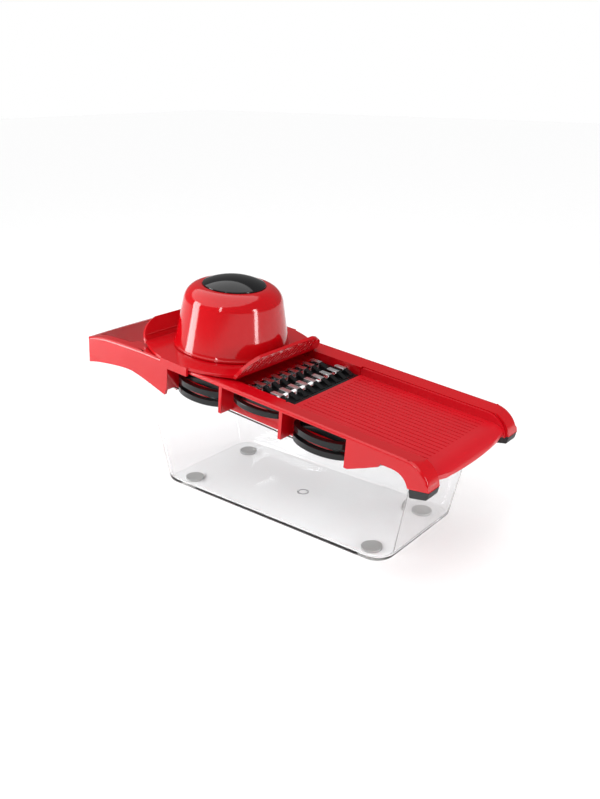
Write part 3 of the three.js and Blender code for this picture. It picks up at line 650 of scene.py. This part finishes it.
def wing_frame(side):
    """Frame of a wing: out of its outer face, along it, and up it."""
    place = Matrix.Translation((dome_centre.x + side * wing_root, 0, wing_foot))
    return deck @ place @ Matrix.Rotation(side * wing_tilt, 4, "Y")


def rib_bar(name, start, end, width, height, place):
    """A rib with a round back that lies on the plane x = start.x of its frame."""
    work = bmesh.new()
    start, end = Vector(start), Vector(end)
    along = (end - start).normalized()
    across = along.cross(Vector((1, 0, 0))).normalized()
    steps = 6
    rings = []
    for share, size in ((0, 0.2), (0.04, 0.8), (0.12, 1), (0.88, 1), (0.96, 0.8), (1, 0.2)):
        middle = start.lerp(end, share)
        ring = []
        for j in range(steps + 1):
            turn = math.pi * j / steps
            sideways = across * (size * width / 2 * math.cos(turn))
            out = Vector((size * height * math.sin(turn), 0, 0))
            ring.append(work.verts.new(middle + sideways + out))
        rings.append(ring)
    for ring, after in zip(rings, rings[1:]):
        for j in range(steps):
            work.faces.new((ring[j], ring[j + 1], after[j + 1], after[j]))
        work.faces.new((ring[steps], ring[0], after[0], after[steps]))
    work.faces.new(rings[0][::-1])
    work.faces.new(rings[-1])
    piece = new_piece(name, work, place)
    piece.data.shade_smooth()
    return piece


def joined(name, pieces):
    work = bmesh.new()
    for piece in pieces:
        work.from_mesh(piece.data)
        bpy.data.objects.remove(piece)
    whole = new_piece(name, work)
    whole.data.shade_smooth()
    return whole


grip_count = 15
grip_pitch = 5.4 * MM
grip_lean = 5.5 * MM
grip_low, grip_high = 5.2 * MM, 15.6 * MM
grip_width = 2.3 * MM
grip_height = 0.8 * MM
grips = []
for k in range(grip_count):
    y = (k - (grip_count - 1) / 2) * grip_pitch
    foot = (wing_thickness, y - grip_lean / 2, grip_low)
    head = (wing_thickness, y + grip_lean / 2, grip_high)
    grips.append(rib_bar("grip", foot, head, grip_width, grip_height, wing_frame(1)))
fitted(joined("wing_grip_ribs", grips), "guard", "red_plastic", glossy_red)

rib_half = 49 * MM
rib_height = 5.8 * MM
rib_ends = (0, -rib_half, rib_height), (0, rib_half, rib_height)
wing_rib = rib_bar("wing_inner_rib", *rib_ends, 1.2 * MM, 0.5 * MM, wing_frame(-1))
fitted(wing_rib, "guard", "red_plastic", glossy_red)

# ------------------------------------------------------------------ dome and cap
# The hand presses on a glossy red dome with a round shoulder and a small flange at its
# foot. A shallow recess in its top holds a polished black cap.
cap_low, cap_high = deck_box("guard_cap")
cap_radius = (cap_high.x - cap_low.x) / 2
dome_top_radius = 42 * MM
dome_shoulder = 15 * MM
dome_wall = 2.4 * MM
cap_seat = cap_low.z - 0.3 * MM
axis_foot = (dome_centre.x, 0, 0)


def dome_profile():
    low, high = dome_low.z, dome_high.z
    bend = dome_top_radius - dome_shoulder
    recess = cap_radius + 0.3 * MM
    flange = 1.6 * MM
    ceiling = cap_seat - dome_wall
    lean = math.atan2(dome_radius - dome_top_radius, high - low - dome_shoulder)
    steps = 20
    turns = [lean + (math.pi / 2 - lean) * i / steps for i in range(steps + 1)]
    level = high - dome_shoulder
    inside = dome_shoulder - dome_wall
    outer = [(bend + dome_shoulder * math.cos(a), level + dome_shoulder * math.sin(a)) for a in turns]
    inner = [(bend + inside * math.cos(a), min(level + inside * math.sin(a), ceiling)) for a in turns[::-1]]
    return [
        (dome_radius - dome_wall, low),
        (dome_radius, low),
        (dome_radius, low + flange),
        (dome_radius - MM, low + flange + 0.9 * MM),
        (dome_radius - 1.4 * MM, low + flange + 2.6 * MM),
        *outer,
        (recess, high),
        (recess, cap_seat),
        (0, cap_seat),
        (0, ceiling),
        *inner,
        (dome_radius - dome_wall, low),
    ]


def closed_turned(name, profile, centre, steps, place):
    """Like turned, for a profile whose last point is its first."""
    piece = turned(name, profile, centre, steps, place)
    work = bmesh.new()
    work.from_mesh(piece.data)
    bmesh.ops.remove_doubles(work, verts=work.verts, dist=2e-6)
    bpy.data.objects.remove(piece)
    return new_piece(name, work)


dome_red = red_plastic(
    "polished red plastic", 0.07, 0.05, 0.00002, deep=(0.50, 0.001, 0.004), pale=(0.55, 0.0015, 0.006)
)
dome = closed_turned("hand_dome", dome_profile(), axis_foot, 128, deck)
rounded_edges(dome, 0.35 * MM, steps=2, sharpest=38, evenness=50)
fitted(dome, "plunger", "red_plastic", dome_red, "guard_dome")


def cap_profile():
    edge = 1.8 * MM
    rise = cap_high.z - cap_low.z - edge
    sphere = (cap_radius ** 2 + rise ** 2) / (2 * rise)
    points = [(0, cap_low.z), (cap_radius - 0.6 * MM, cap_low.z), (cap_radius, cap_low.z + 0.6 * MM)]
    steps = 20
    reach = math.asin(cap_radius / sphere)
    for i in range(steps + 1):
        turn = reach * (1 - i / steps)
        points.append((sphere * math.sin(turn), cap_high.z - sphere + sphere * math.cos(turn)))
    return points


cap_black = black_plastic("polished black plastic", 0.03)
cap = turned("dome_cap", cap_profile(), axis_foot, 128, deck)
rounded_edges(cap, 0.5 * MM, steps=3, sharpest=38, evenness=50)
fitted(cap, "plunger", "black_plastic", cap_black, "guard_cap")

# ------------------------------------------------------------------ plunger
# Inside the dome a red stem carries a black disc with blunt prongs that hold the food. One
# steel screw fixes the disc from below.
stem = mould_of("pusher_stem", "plunger_stem")
rounded_edges(stem, 0.4 * MM, steps=2, sharpest=40)
fitted(stem, "plunger", "red_plastic", glossy_red, "pusher_stem")
disc = mould_of("pusher_disc", "plunger_disc")
rounded_edges(disc, 0.2 * MM, steps=2, sharpest=40)
fitted(disc, "plunger", "black_plastic", loop_black, "pusher_disc")
screw = mould_of("pusher_screw", "plunger_screw")
rounded_edges(screw, 0.2 * MM, steps=2, sharpest=40)
fitted(screw, "plunger", "blade_steel", steel, "pusher_screw")

# ------------------------------------------------------------------ floor and light
# A plain white floor runs past the view. A broad soft ceiling lights it evenly, and three
# tall soft lamps round the front put upright highlights on the dome.


def white_floor():
    material, tree, shader = new_material("white paper")
    node = skin_on(tree, shader, roughness=0.9, spread=0.1, grain_size=900, bump=0.00002)
    shader.inputs["Specular IOR Level"].default_value = 0
    two_tones(tree, shader, node.outputs["Mottle"], (0.93, 0.93, 0.93), (0.95, 0.95, 0.95))
    work = bmesh.new()
    bmesh.ops.create_grid(work, x_segments=4, y_segments=4, size=6)
    floor = new_piece("floor", work)
    floor.data.materials.append(material)


def soft_lamp(name, place, target, size, power):
    light = bpy.data.lights.new(name, "AREA")
    light.shape = "RECTANGLE"
    light.size, light.size_y = size
    light.energy = power
    lamp = bpy.data.objects.new(name, light)
    lamp.location = place
    lamp.rotation_euler = (Vector(target) - Vector(place)).to_track_quat("-Z", "Y").to_euler()
    bpy.context.scene.collection.objects.link(lamp)


def white_room():
    """A white backdrop that gives off less light than it shows."""
    world = bpy.data.worlds.new("white room")
    world.use_nodes = True
    tree = world.node_tree
    rays = tree.nodes.new("ShaderNodeLightPath")
    strength = tree.nodes.new("ShaderNodeMapRange")
    strength.inputs["To Min"].default_value = 0.22
    strength.inputs["To Max"].default_value = 1
    tree.links.new(rays.outputs["Is Camera Ray"], strength.inputs["Value"])
    tree.links.new(strength.outputs["Result"], tree.nodes["Background"].inputs["Strength"])
    tree.nodes["Background"].inputs["Color"].default_value = (1, 1, 1, 1)
    bpy.context.scene.world = world


def broad_sun(strength, spread, place, target):
    light = bpy.data.lights.new("lamp_ceiling", "SUN")
    light.energy = strength
    light.angle = math.radians(spread)
    lamp = bpy.data.objects.new("lamp_ceiling", light)
    lamp.rotation_euler = (Vector(target) - Vector(place)).to_track_quat("-Z", "Y").to_euler()
    bpy.context.scene.collection.objects.link(lamp)


white_floor()
white_room()
middle = (cad_box[0] + cad_box[1]) / 2
broad_sun(2.7, 100, (-0.25, -0.2, 1), (0, 0, 0))
soft_lamp("lamp_left", (-0.72, -0.62, 0.28), middle, (0.3, 0.56), 5.5)
soft_lamp("lamp_front", (0.2, -0.95, 0.55), middle, (0.07, 0.5), 1.5)
soft_lamp("lamp_right", (0.98, 0.05, 0.27), middle, (0.14, 0.54), 3.5)
bpy.context.scene.view_settings.view_transform = "Standard"

# ------------------------------------------------------------------ camera
# A product view from the front right and above the worktop, with the foot end nearest, so
# that the pockets, the blades and the hand guard all show.
camera_turn = math.radians(38.73)
camera_dip = math.radians(21.19)
camera_place = Vector((415.4, -498.3, 334.6)) * MM
lens = bpy.data.cameras.new("camera")
lens.sensor_width = 36
lens.lens = 37.72
camera = bpy.data.objects.new("camera", lens)
camera.location = camera_place
camera.rotation_euler = (math.pi / 2 - camera_dip, 0, camera_turn)
bpy.context.scene.collection.objects.link(camera)
bpy.context.scene.camera = camera
